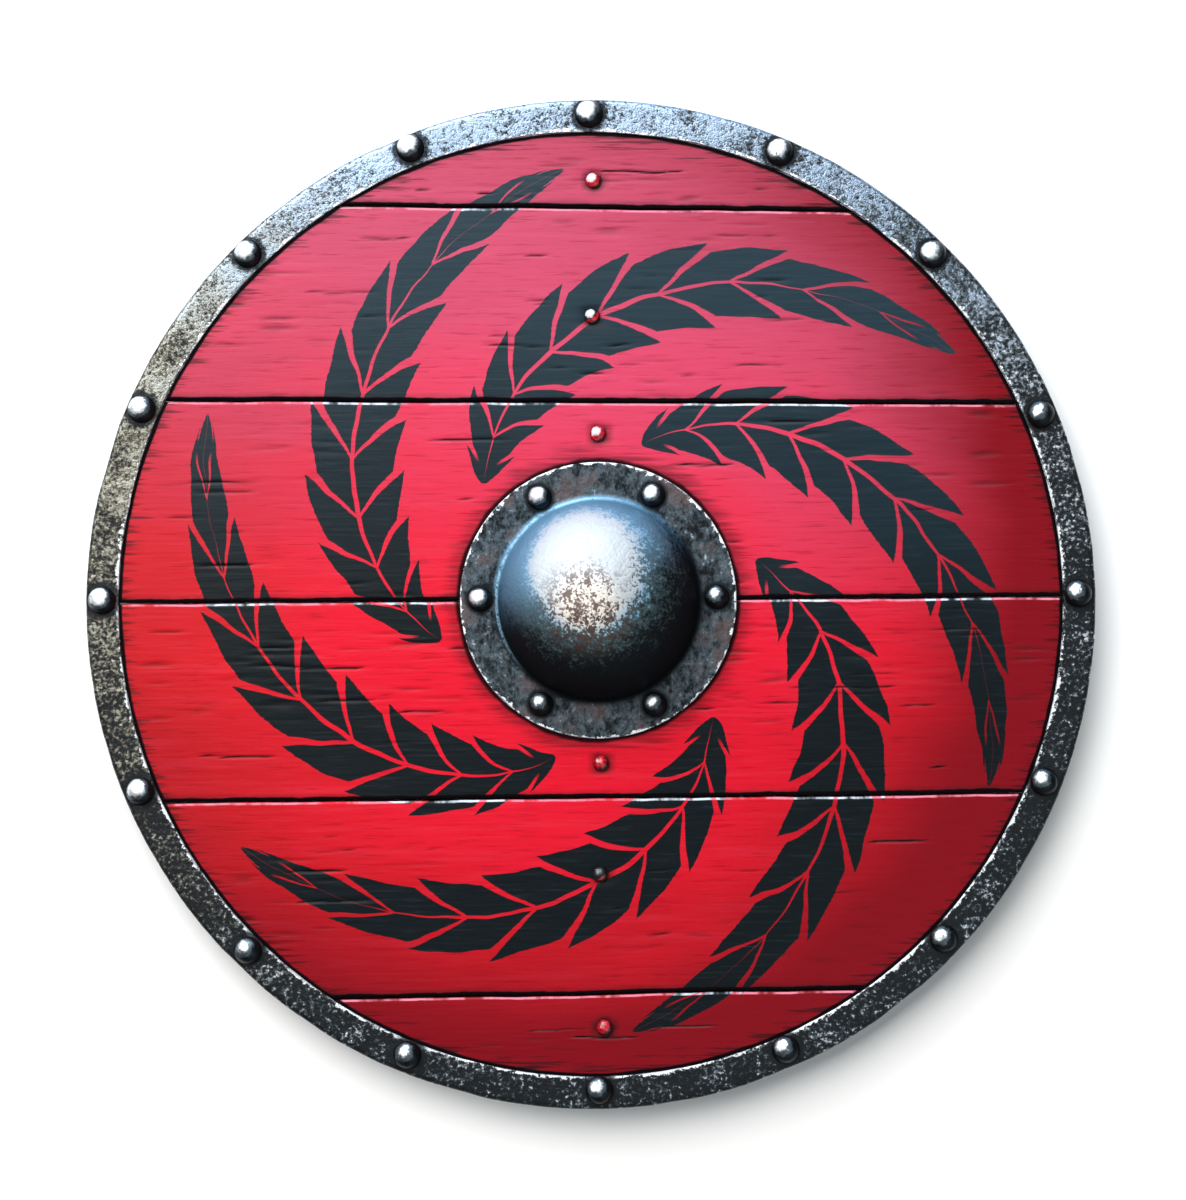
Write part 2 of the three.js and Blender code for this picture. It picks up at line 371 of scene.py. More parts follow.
def dress(piece, material, slot, *nodes):
    """Gives the piece its material and its place in the frame, in the stead of the nodes."""
    piece.data.materials.clear()
    piece.data.materials.append(material)
    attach(piece, "root")
    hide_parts(*nodes)


def arc(centre, radius, height, start, end, steps):
    """Points of an elliptical arc in a (radius, level) outline, angles in degrees."""
    angles = [math.radians(start + (end - start) * step / steps) for step in range(steps + 1)]
    return [(centre[0] + radius * math.cos(angle), centre[1] + height * math.sin(angle)) for angle in angles]


def stretch(start, end, spacing):
    """Evenly spaced points from start up to, but not with, end."""
    distance = math.dist(start, end)
    steps = max(1, round(distance / spacing))
    return [tuple(a + (b - a) * step / steps for a, b in zip(start, end)) for step in range(steps)]


def spin_outline(name, outline, centre, steps):
    """A closed ring: a closed (radius, level) outline spun round an upright axis."""
    start_fresh()
    bpy.ops.mesh.primitive_circle_add(vertices=len(outline), radius=1, location=(0, 0, 0))
    ring = bpy.context.active_object
    ring.name = name
    for vertex, (radius, level) in zip(ring.data.vertices, outline):
        vertex.co = centre + Vector((radius, 0, level))
    edit(ring)
    bpy.ops.mesh.select_all(action="SELECT")
    bpy.ops.mesh.spin(steps=steps, angle=2 * math.pi, center=centre, axis=UP)
    bpy.ops.object.mode_set(mode="OBJECT")
    mend(ring)
    return ring


# ---------------------------------------------------------------- material helpers


class Wire:
    """A number that varies over a surface, and that can be used in sums."""

    def __init__(self, tree, socket):
        self.tree = tree
        self.socket = socket

    def sum(self, operation, *others):
        """The result of a Math node on this number and the others."""
        node = self.tree.nodes.new("ShaderNodeMath")
        node.operation = operation
        for entry, value in zip(node.inputs, (self, *others)):
            plug(self.tree, value, entry)
        return Wire(self.tree, node.outputs[0])

    def __add__(self, other):
        return self.sum("ADD", other)

    def __sub__(self, other):
        return self.sum("SUBTRACT", other)

    def __mul__(self, other):
        return self.sum("MULTIPLY", other)

    def __truediv__(self, other):
        return self.sum("DIVIDE", other)

    def __pow__(self, other):
        return self.sum("POWER", other)

    def __abs__(self):
        return self.sum("ABSOLUTE")

    def less_from(self, whole):
        """whole - this."""
        return (self * -1) + whole

    def rise(self, low, high, top=1.0):
        """0 below low, top above high, and a soft rise between them."""
        node = self.tree.nodes.new("ShaderNodeMapRange")
        node.interpolation_type = "SMOOTHSTEP"
        plug(self.tree, self, node.inputs["Value"])
        node.inputs["From Min"].default_value = low
        node.inputs["From Max"].default_value = high
        node.inputs["To Min"].default_value = 0.0
        node.inputs["To Max"].default_value = top
        return Wire(self.tree, node.outputs["Result"])

    def fall(self, low, high, top=1.0):
        """top below low, 0 above high, and a soft fall between them."""
        return self.rise(low, high, top).less_from(top)


def plug(tree, value, entry):
    """Links a wire to a socket, or sets a plain number or colour on it."""
    if isinstance(value, Wire):
        tree.links.new(value.socket, entry)
    elif entry.type == "RGBA":
        entry.default_value = (*value, 1.0)
    else:
        entry.default_value = value


class Finish:
    """A material in the making, with short names for the nodes that it is built from."""

    def __init__(self, name):
        self.material = bpy.data.materials.new(name)
        self.material.use_nodes = True
        self.tree = self.material.node_tree
        self.nodes = self.tree.nodes
        self.shader = self.nodes["Principled BSDF"]
        self.place = self.nodes.new("ShaderNodeTexCoord").outputs["Object"]
        self.normal = None

    def axes(self):
        """The three coordinates of the surface point."""
        node = self.nodes.new("ShaderNodeSeparateXYZ")
        self.tree.links.new(self.place, node.inputs[0])
        return [Wire(self.tree, output) for output in node.outputs]

    def noise(self, scale, detail=2.0, roughness=0.5, shift=0.0):
        """Smooth noise from 0 to 1. The scale is one number, or one for each axis."""
        mapping = self.nodes.new("ShaderNodeMapping")
        self.tree.links.new(self.place, mapping.inputs["Vector"])
        mapping.inputs["Location"].default_value = (shift, shift * 0.7, shift * 1.3)
        mapping.inputs["Scale"].default_value = scale if isinstance(scale, tuple) else (scale,) * 3
        texture = self.nodes.new("ShaderNodeTexNoise")
        self.tree.links.new(mapping.outputs[0], texture.inputs["Vector"])
        texture.inputs["Scale"].default_value = 1.0
        texture.inputs["Detail"].default_value = detail
        texture.inputs["Roughness"].default_value = roughness
        return Wire(self.tree, texture.outputs[0])

    def mark(self, name):
        """A number stored on the piece's points."""
        node = self.nodes.new("ShaderNodeAttribute")
        node.attribute_name = name
        return Wire(self.tree, node.outputs["Fac"])

    def mix(self, share, first, second):
        """first where share is 0, second where it is 1."""
        node = self.nodes.new("ShaderNodeMix")
        node.data_type = "RGBA"
        plug(self.tree, share, node.inputs[0])
        plug(self.tree, first, node.inputs[6])
        plug(self.tree, second, node.inputs[7])
        return Wire(self.tree, node.outputs[2])

    def bump(self, height, distance):
        """Adds a layer of bump. The distance is the height, in metres, of a full step from 0 to 1."""
        node = self.nodes.new("ShaderNodeBump")
        node.inputs["Strength"].default_value = 1.0
        node.inputs["Distance"].default_value = distance
        plug(self.tree, height, node.inputs["Height"])
        if self.normal:
            self.tree.links.new(self.normal, node.inputs["Normal"])
        self.normal = node.outputs[0]

    def done(self, colour, roughness, metallic=0.0, shine=0.5, tint=(1, 1, 1)):
        """Links or sets the shader's main sockets, and returns the material."""
        plug(self.tree, colour, self.shader.inputs["Base Color"])
        plug(self.tree, roughness, self.shader.inputs["Roughness"])
        plug(self.tree, metallic, self.shader.inputs["Metallic"])
        plug(self.tree, shine, self.shader.inputs["Specular IOR Level"])
        plug(self.tree, tint, self.shader.inputs["Specular Tint"])
        if self.normal:
            self.tree.links.new(self.normal, self.shader.inputs["Normal"])
        return self.material


def boss_distance(finish):
    """Coordinates from the boss's centre, and the distance to it."""
    x, y, _ = finish.axes()
    across = x - BOSS_CENTRE.x
    along = y - BOSS_CENTRE.y
    return across, along, (across * across + along * along).sum("SQRT")


def whirl_paint(finish):
    """1 where the black paint of the whirl lies, and 0 on the red."""
    whirl = settings().whirl
    unsteady = 2.5 * MM
    across, along, _ = boss_distance(finish)
    x = across + (finish.noise(38, 1.0) - 0.5) * (2 * unsteady)
    y = along + (finish.noise(38, 1.0, shift=5.0) - 0.5) * (2 * unsteady)
    radius = (x * x + y * y).sum("SQRT")
    reach = whirl.end - whirl.start
    share = (radius - whirl.start) / reach
    sector = 2 * math.pi / whirl.arms
    turn = (y.sum("ARCTAN2", x) + share * whirl.twist) / sector + whirl.phase
    off_line = (turn.sum("FRACT") - 0.5) * sector
    slope = radius * (whirl.twist / reach)
    lean = ((slope * slope) + 1).sum("INVERSE_SQRT")
    sideways = off_line * radius * lean
    onward = share - sideways * slope * lean / reach
    length_share = onward.sum("MAXIMUM", 0.0).sum("MINIMUM", 1.0)
    bulge = (length_share * length_share.less_from(1) * 4) ** 0.7
    half = bulge * (length_share * -0.45 + 1.2) * whirl.half_width
    half = half.sum("MAXIMUM", 0.5 * MM)
    side = abs(sideways) / half
    feather = (length_share * whirl.feathers - side * 1.1 + side * side * 0.25).sum("FRACT")
    limit = half * (feather * 0.28 + 0.72)
    brush = (finish.noise((60, 620, 60), 2.0) - 0.5) * (1.5 * MM)
    edge = limit - abs(sideways) + brush
    painted = edge.rise(-0.2 * MM, 0.25 * MM)
    feather_length = 0.62 * reach * 1.75 / whirl.feathers
    to_cut = feather.sum("MINIMUM", feather.less_from(1)) * feather_length
    cut_edge = to_cut + brush * 0.5 - (side * 0.8 + 0.35) * whirl.cut
    in_middle = length_share.rise(0.05, 0.07) * length_share.fall(0.93, 0.95)
    cut = cut_edge.fall(-0.2 * MM, 0.2 * MM) * in_middle
    quill_share = ((length_share - 0.03) / 0.8).sum("MINIMUM", 1.0) * math.pi
    quill_edge = abs(sideways) - quill_share.sum("SINE") * (0.8 * whirl.cut)
    quill = quill_edge.fall(-0.2 * MM, 0.2 * MM)
    within = onward.rise(0.0, 0.004) * onward.fall(0.996, 1.0)
    return painted * cut.less_from(1) * quill.less_from(1) * within


def painted_boards():
    """Red paint over grained boards, with the black whirl, sooty dirt and painted shade in the seams, along
    the rim and round the boss, painted highlight along the seams, a painted sheen on the upper boards,
    painted shade towards the lower right edge, and bare wood behind.
    """
    look = settings().boards
    finish = Finish("painted_board")
    x, y, z = finish.axes()
    from_boss = boss_distance(finish)[2]
    from_middle = (x * x + y * y).sum("SQRT")
    fine = finish.noise((34, 600, 34), 3.0, 0.6)
    broad = finish.noise((9, 170, 20), 3.0, 0.6, shift=3.0)
    patches = finish.noise((6, 12, 6), 3.0, 0.55, shift=8.0)
    smudge = finish.noise((60, 160, 60), 3.0, 0.6, shift=11.0)
    streak = finish.noise((26, 480, 26), 3.0, 0.65, shift=15.0)
    broken = finish.noise((70, 20, 20), 3.0, 0.7, shift=17.0).rise(0.36, 0.56)
    crack = finish.mark("crack")
    gouge = finish.mark("gouge")
    grime = finish.mark("grime")
    above_seam = finish.mark("above_seam")
    below_seam = finish.mark("below_seam")

    # Painted shade: the face is painted darker towards its edge, most at the lower right and least at the
    # upper left, varied by random patches.
    edge = from_middle / BOARD_RADIUS
    right = x.sum("MAXIMUM", 0.0)
    lower_right = (x - y) * (0.5 / BOARD_RADIUS) + right * (0.15 / BOARD_RADIUS) + 0.85
    edge_shade = edge * edge * edge * lower_right + (patches - 0.5) * 0.5
    # Painted sheen: the boards are painted paler and cooler towards the top, varied by random patches, as
    # glossy paint looks under the light above.
    upward = (y + x * 0.15) / BOARD_RADIUS
    top_sheen = (upward + (patches - 0.5) * 0.5).rise(-0.15, 0.75, 0.26)
    red = finish.mix((edge + (patches - 0.5) * 0.3).rise(0.45, 0.85, 0.75), look.bright_red, look.warm_red)
    red = finish.mix(broad.rise(0.52, 0.70, 0.35), red, look.dry_pink)
    red = finish.mix(fine.rise(0.56, 0.74, 0.35), red, look.dry_pink)
    red = finish.mix(top_sheen, red, look.sheen_pink)
    red = finish.mix(fine.fall(0.30, 0.44, 0.45), red, look.deep_red)
    red = finish.mix(edge_shade.rise(0.0, 0.9), red, look.deep_red)
    black = finish.mix(fine.rise(0.54, 0.72, 0.9), look.black_paint, look.grey_streak)
    # Painted sheen on the black paint of the upper boards.
    black = finish.mix(top_sheen * 1.6, black, look.sheen_teal)
    whirl = whirl_paint(finish)
    paint = finish.mix(whirl, red, black)

    ragged = (smudge - 0.5) * 4
    rim_inside = SHIELD_RADIUS - settings().steel.front_width
    unsteady = (finish.noise(60, 2.0, shift=2.0) - 0.5) * (3 * MM)
    streaks = (streak - 0.5) * (60 * MM)
    # Painted shade: the boards are darkened in streaks along the rim and round the boss; the black line just
    # inside the rim and the black ring round the boss flange are painted shadow with sooty dirt.
    rim_shade = (from_middle + streaks).rise(rim_inside - 6 * MM, rim_inside + 3 * MM, 0.7)
    rim_soot_and_shadow = (from_middle + unsteady * 0.6).rise(rim_inside - 2.6 * MM, rim_inside - 1.6 * MM, 1.0)
    boss_soot_and_shadow = (from_boss + unsteady).fall(FLANGE_RADIUS + 1.2 * MM, FLANGE_RADIUS + 3.4 * MM, 0.95)
    boss_shade = (from_boss + streaks * 0.5).fall(FLANGE_RADIUS, FLANGE_RADIUS + 13 * MM, 0.6)
    # Painted shade with sooty dirt: the lower edge of each board, above a seam, is darkened up to 6 mm from
    # the seam.
    beside_seam = (above_seam + ragged).fall(1.2, 6.0, 0.5)
    # Mixed towards the dark colour: painted shade along the rim, round the boss and above each seam, painted
    # shade with dirt round the nails, and dirt in gouges and cracks.
    for share in (rim_shade, boss_shade, beside_seam, grime * 0.75, gouge * 0.42, crack):
        paint = finish.mix(share, paint, look.soot_and_shade)
    # Painted highlight: the bevel along the upper edge of each board, below a seam, is painted pale where it
    # faces the light, partly as rubbed-through paint.
    highlight_and_wear = (below_seam + ragged * 0.4).fall(1.1, 1.6) * (below_seam + ragged * 0.2).rise(0.0, 0.2)
    paint = finish.mix(highlight_and_wear * broken, paint, finish.mix(whirl, look.thin_paint_and_highlight, look.pale_edge))
    # The black line in each seam, on the lower bevel of the upper board, is painted shadow with sooty dirt;
    # it is joined by the painted shadow lines at the rim and the boss, and by the cracks.
    in_seam = (above_seam + ragged * 0.5).fall(2.0, 2.8)
    soot_and_shade = in_seam.sum("MAXIMUM", rim_soot_and_shadow).sum("MAXIMUM", boss_soot_and_shadow).sum("MAXIMUM", crack)
    paint = finish.mix(soot_and_shade, paint, look.soot_and_shade)

    bare = finish.mix(broad.rise(0.40, 0.66), look.timber, look.dark_timber)
    bare = finish.mix(fine.rise(0.50, 0.72, 0.6), bare, look.dark_timber)
    behind = z.fall(BOARD_FRONT - 4.0 * MM, BOARD_FRONT - 3.0 * MM)
    finish.bump(fine, 0.09 * MM)
    finish.bump(finish.noise(900, 1.0), 0.02 * MM)
    return finish.done(
        finish.mix(behind, paint, bare),
        fine * 0.15 + 0.28,
        shine=soot_and_shade * behind.less_from(1) * -0.14 + 0.16,
    )


def bare_timber():
    """Plain oiled wood, for the grip."""
    look = settings().boards
    finish = Finish("bare_wood")
    grain = finish.noise((240, 9, 240), 4.0, 0.6)
    broad = finish.noise((60, 4, 60), 3.0, 0.5, shift=4.0)
    tone = finish.mix(broad.rise(0.38, 0.66), look.timber, look.dark_timber)
    tone = finish.mix(grain.rise(0.48, 0.70, 0.7), tone, look.dark_timber)
    finish.bump(grain, 0.25 * MM)
    return finish.done(tone, roughness=grain * 0.25 + 0.45)


def rim_steel():
    """Forged rim: black scale in the hollows, rubbed bright on the high spots, with painted light: paler,
    cooler and brighter towards the top left, warmer on the left, and darker with fewer bright flecks towards
    the lower right.
    """
    look = settings().steel
    finish = Finish("rim_steel")
    x, y, z = finish.axes()
    from_middle = (x * x + y * y).sum("SQRT")
    fleck = finish.noise(900, 2.0, 0.6)
    spot = finish.noise(430, 3.0, 0.65, shift=6.0)
    cloud = finish.noise(45, 2.0, 0.5, shift=9.0)
    relief = finish.mark("relief")

    # Painted light and shade: the rim is painted brighter towards the top left and darker, with fewer bright
    # flecks, towards the lower right; rub carries this painted light as well as the rubbed high spots and
    # the hammer relief.
    toward_light = (y * 0.85 - x * 0.2) / SHIELD_RADIUS
    lit = toward_light.sum("MAXIMUM", 0.0) * 0.135 + toward_light * 0.02
    flake = finish.noise(380, 4.0, 0.66, shift=13.0) - toward_light.fall(-0.5, 0.3, 0.045)
    grit = flake + (spot * 0.5 + fleck * 0.5 - flake) * toward_light.rise(0.1, 0.7)
    rub = grit + (cloud - 0.5) * 0.25 + (relief - 0.5) * 0.15 + lit
    # Painted light: warm tints on the left of the rim and a pale, cool tint at the top stand in for the
    # lights.
    painted_warm_light = (x * 1.2 + abs(y) * 0.8 + cloud * 0.2).fall(-0.15, 0.2)
    dim = finish.mix(0.25, look.bright_steel, look.slate_steel)
    bright = finish.mix(toward_light.rise(-0.1, 0.5), dim, look.pale_lit_steel)
    bright = finish.mix(painted_warm_light, bright, look.warm_lit_steel)
    dull = finish.mix(painted_warm_light, look.slate_steel, look.warm_lit_dull_steel)
    tone = finish.mix(rub.rise(0.48, 0.60), look.black_steel, dull)
    tone = finish.mix(rub.rise(0.57, 0.65), tone, bright)
    inner = SHIELD_RADIUS - look.front_width
    edge_nicks = (spot - 0.5) * (9 * MM) + (cloud - 0.5) * (7 * MM)
    pale_edge = (from_middle + edge_nicks).fall(inner + 0.3 * MM, inner + 1.2 * MM, 0.95)
    tone = finish.mix(pale_edge, tone, look.bright_steel)
    # Painted shade with sooty dirt: a dark ring on the rim round each rivet head.
    rivet_grime_and_shade = (finish.mark("to_rivet") + (spot - 0.5) * 8).fall(10.0, 13.0, 0.95)
    rivet_grime_and_shade = rivet_grime_and_shade * z.rise(SHEET_TOP - 3.5 * MM, SHEET_TOP - 1.5 * MM)
    tone = finish.mix(rivet_grime_and_shade, tone, look.black_steel)
    finish.bump(spot * 0.7 + fleck * 0.3, 0.6 * MM)
    return finish.done(
        tone,
        roughness=rub.fall(0.50, 0.64, 0.12) + 0.33,
        metallic=rub.rise(0.50, 0.60, 0.4) + 0.55,
        shine=0.2,
    )


def boss_steel():
    """Raised boss: polish with dark pits on the dome, dull slate on the flange and on the hollow side, with
    painted light: a pale patch up and to the left is painted highlight with polish, blue round it and on the
    lit side is painted cool reflection, the dark lower right is painted shade with patina, and dark rings
    round the rivets are painted shade.
    """
    look = settings().steel
    finish = Finish("boss_steel")
    across, along, from_boss = boss_distance(finish)
    fleck = finish.noise(620, 2.0, 0.6)
    spot = finish.noise(200, 4.0, 0.65, shift=6.0)
    cloud = finish.noise(45, 3.0, 0.55, shift=9.0)

    # Painted highlight: the pale patch, centred up and to the left of the dome's middle, stands in for the
    # key light's reflection as well as polish; shine falls off away from it, so the dome is painted darker
    # towards the lower right, and the blue band round it is painted cool reflection.
    patch_across = across + 7 * MM
    patch_along = along - 20 * MM
    from_patch = (patch_across * patch_across + patch_along * patch_along).sum("SQRT")
    rub = spot * 0.5 + fleck * 0.5 + (cloud - 0.5) * 0.2
    upper_left = (along - across).rise(-10 * MM, 60 * MM)
    outside = finish.mark("hollow").less_from(1)
    shine = (rub - 0.5) * (upper_left * -1.0 + 1.5) + 0.5 - (from_patch - 33 * MM) / (56 * MM)
    shine = shine * outside
    polish = finish.mix(from_patch.rise(29 * MM, 42 * MM), look.polish_and_highlight_steel, look.blue_steel)
    warm_along = along + 4 * MM
    from_warm = (patch_across * patch_across + warm_along * warm_along).sum("SQRT")
    polish = finish.mix(from_warm.fall(8 * MM, 26 * MM, 0.9), polish, look.warm_steel)
    # Painted shade with patina where shine is low, on the dome's lower right; blue on the lit side is
    # painted cool reflection.
    dull = finish.mix(shine.rise(0.05, 0.45), look.black_steel, look.dull_steel)
    lit_side = (along - across * 0.4).rise(-5 * MM, 45 * MM, 0.65)
    dull = finish.mix(lit_side * shine.rise(-0.15, 0.25), dull, look.blue_steel)
    dome_tone = finish.mix(shine.rise(0.42, 0.54), dull, polish)
    rust_pit = from_warm.fall(14 * MM, 36 * MM) * rub.fall(0.46, 0.52)
    dome_tone = finish.mix(rust_pit * 0.9, dome_tone, look.old_rust)
    foot_line = abs(from_boss - 61.5 * MM + (cloud - 0.5) * MM).fall(0.3 * MM, 1.3 * MM)
    lit_foot = (along * 0.7 - across).rise(10 * MM, 55 * MM, 0.7)
    dome_tone = finish.mix(foot_line * lit_foot * rub.rise(0.40, 0.50), dome_tone, look.blue_light)
    brushed = finish.noise((300, 210, 210), 5.0, 0.70, shift=14.0)
    mottle = (cloud * 0.45 + brushed * 0.65).rise(0.44, 0.66)
    flange_tone = finish.mix(mottle, look.black_steel, look.slate_steel)
    flange_tone = finish.mix(cloud.rise(0.51, 0.67, 0.55), flange_tone, look.old_rust)
    flange_tone = finish.mix(brushed.rise(0.62, 0.72, 0.35), flange_tone, look.bright_steel)
    edge_nicks = (spot - 0.5) * (10 * MM) + (fleck - 0.5) * (2 * MM)
    pale_edge = (from_boss + edge_nicks).rise(FLANGE_RADIUS - 1.2 * MM, FLANGE_RADIUS - 0.4 * MM, 0.95)
    flange_tone = finish.mix(pale_edge, flange_tone, look.bright_steel)
    unsteady = (cloud - 0.5) * (2 * MM)
    on_dome = (from_boss + unsteady).fall(look.dome_radius + 1.0 * MM, look.dome_radius + 5.0 * MM)
    tone = finish.mix(on_dome * outside, flange_tone, dome_tone)
    # Painted shade with sooty dirt: a dark ring round each rivet head on the flange.
    tone = finish.mix(finish.mark("to_rivet").fall(8, 10.5, 0.9), tone, look.black_steel)
    finish.bump(rub, 0.6 * MM)
    return finish.done(
        tone,
        roughness=rub.fall(0.36, 0.55, 0.12) + 0.50,
        metallic=shine.rise(0.3, 0.6, -0.25) + 0.6,
        shine=shine.rise(0.0, 0.5, 0.35) + 0.06,
        tint=(0.15, 0.45, 0.55),
    )


def rivet_steel():
    """Hammered rivets, polished on their crowns, with a painted highlight on the upper left of each head and
    painted shade on its lower right, more shade on heads towards the shield's lower right.
    """
    look = settings().steel
    finish = Finish("rivet_steel")
    fleck = finish.noise(700, 2.0, 0.6)
    spot = finish.noise(260, 2.0, 0.5, shift=6.0)
    rub = spot * 0.6 + fleck * 0.4
    # Painted highlight and shade: bright steel on the upper left of each head, black steel on its lower
    # right.
    crown = finish.mark("crown") + (rub - 0.5) * 0.8
    tone = finish.mix(crown.rise(0.66, 0.88) * rub.rise(0.30, 0.42), look.slate_steel, look.bright_steel)
    tone = finish.mix(crown.fall(0.42, 0.58, 0.97), tone, look.black_steel)
    finish.bump(rub, 0.3 * MM)
    return finish.done(tone, roughness=0.40, metallic=0.8, shine=0.2)


def painted_nail():
    """Nails under the same paint as the boards round them."""
    look = settings().boards
    finish = Finish("painted_nail")
    spot = finish.noise(420, 2.0, 0.6)
    red = finish.mix(spot.rise(0.40, 0.62), look.deep_red, look.bright_red)
    black = finish.mix(spot.rise(0.45, 0.70), look.black_paint, look.grey_streak)
    tone = finish.mix(whirl_paint(finish), red, black)
    # Painted highlight and shade: pale paint on the upper left of each nail head, dark paint on its lower
    # right.
    crown = finish.mark("crown") + (spot - 0.5) * 0.6
    tone = finish.mix(crown.rise(0.80, 0.98, 0.8), tone, look.pale_edge)
    tone = finish.mix(crown.fall(0.22, 0.45, 0.9), tone, look.soot_and_shade)
    _, _, z = finish.axes()
    tone = finish.mix(z.fall(BOARD_BACK, BOARD_FRONT - 1 * MM), tone, settings().steel.slate_steel)
    finish.bump(spot, 0.2 * MM)
    return finish.done(tone, roughness=spot * 0.3 + 0.22, shine=0.6)


def pale_floor():
    """Plain pale floor with the faintest mottle."""
    look = settings().studio
    finish = Finish("pale_floor")
    mottle = finish.noise(3, 3.0)
    tone = finish.mix(mottle, look.floor_tone, tuple(0.97 * part for part in look.floor_tone))
    return finish.done(tone, roughness=0.9, shine=0.1)


# ---------------------------------------------------------------- boards


def seam_at(x, seam):
    """Height of a seam at x, with the wander of its hand-planed edges."""
    height, tilt = SEAMS[seam]
    wide = wander(x * 14, height * 0.04, 2.0)
    narrow = wander(x * 55, height * 0.04, 7.0)
    drift = (0.75 * wide + 0.45 * narrow) * settings().boards.seam_wander
    return height * MM + x * math.tan(math.radians(tilt)) + drift


def board_edges(board):
    """Two functions of x for a board, counted from 0 at the top: its lower and its upper edge."""

    def lower(x):
        return seam_at(x, board) + HALF_SEAM if board < len(SEAMS) else -BOARD_RADIUS

    def upper(x):
        return seam_at(x, board - 1) - HALF_SEAM if board > 0 else BOARD_RADIUS

    return lower, upper


def gouge_at(place):
    """0 to 1: short dark gouges along the grain."""
    patch = smooth_step(wander(place.x * 6, place.y * 14, 31.0), -0.15, 0.35)
    return smooth_step(wander(place.x * 40, place.y * 330, 17.0), 0.30, 0.58) * patch


def draw_cracks():
    """Places of the drying cracks: middle, half length and depth share of each."""
    look = settings().boards
    chance = random.Random(11)
    top_nail = middle_of(NAILS[0])
    cracks = [
        (top_nail.x + 29 * MM, top_nail.y + 5 * MM, 23 * MM, 1.0),
        (top_nail.x - 66 * MM, top_nail.y - 7 * MM, 4 * MM, 1.0),
        (top_nail.x - 104 * MM, top_nail.y - 5 * MM, 4 * MM, 0.9),
    ]
    while len(cracks) < look.cracks:
        x = chance.uniform(-0.26, 0.26)
        y = chance.uniform(-0.27, 0.27)
        half = 3 * MM + 22 * MM * chance.random() ** 2
        share = chance.uniform(0.3, 1.0)
        to_seam = min(abs(y - seam_at(x, seam)) for seam in range(len(SEAMS)))
        if to_seam > 6 * MM and math.hypot(abs(x) + half, y) < 0.275:
            cracks.append((x, y, half, share))
    return cracks


def crack_at(place, cracks):
    """0 to 1: how deep the deepest crack is at a place."""
    depth = 0.0
    for x, y, half, share in cracks:
        off_x = place.x - x
        if abs(off_x) < half and abs(place.y - y) < 4 * MM:
            line = y + 1.3 * MM * wander(place.x * 45, y * 90, 5.0)
            width = 0.6 * MM * (1 - (off_x / half) ** 2) * (0.5 + 0.5 * share)
            if width > 0:
                depth = max(depth, share * smooth_step(-abs(place.y - line), -width - 0.35 * MM, 0.0))
    return depth


def nail_ring_at(place, nails):
    """0 to 1: a ring round each nail, pressed into the boards and painted dark as dirt and painted shade."""
    nearest = min(math.hypot(place.x - nail.x, place.y - nail.y) for nail in nails)
    return 1 - smooth_step(nearest, 5.0 * MM, 8.5 * MM)


def weathered_board(board, seed, cracks, nails):
    """Moves the points of a board's two faces: raised grain, gouges, cracks and pressed nails."""
    look = settings().boards

    def moved(place, normal):
        x, y = place.x, place.y
        if place.z > BOARD_FRONT - 2.2 * MM:
            plank = 0.30 * MM * wander(x * 7, y * 16, seed)
            ridges = wander(x * 26, y * 310, seed) + 0.6 * wander(x * 55, y * 520, seed + 3)
            grain = look.grain_relief * ridges
            dent = look.gouge_depth * gouge_at(place) + look.crack_depth * crack_at(place, cracks)
            press = 0.5 * MM * nail_ring_at(place, nails)
            top = BOARD_FRONT - place.z
            share = 1 - smooth_step(top, 0.0, 2.0 * MM)
            lowered = min(plank - 0.3 * MM, 0) + grain * share - dent - press
            place.z += min(lowered, 0.08 * MM)
        elif place.z < BOARD_BACK + 1.0 * MM:
            grain = wander(x * 9, y * 150, seed + 5) + 0.5 * wander(x * 20, y * 400, seed + 6)
            place.z += max(0.0, 0.12 * MM * (grain + 0.8))
        return place

    sculpt(board, moved)


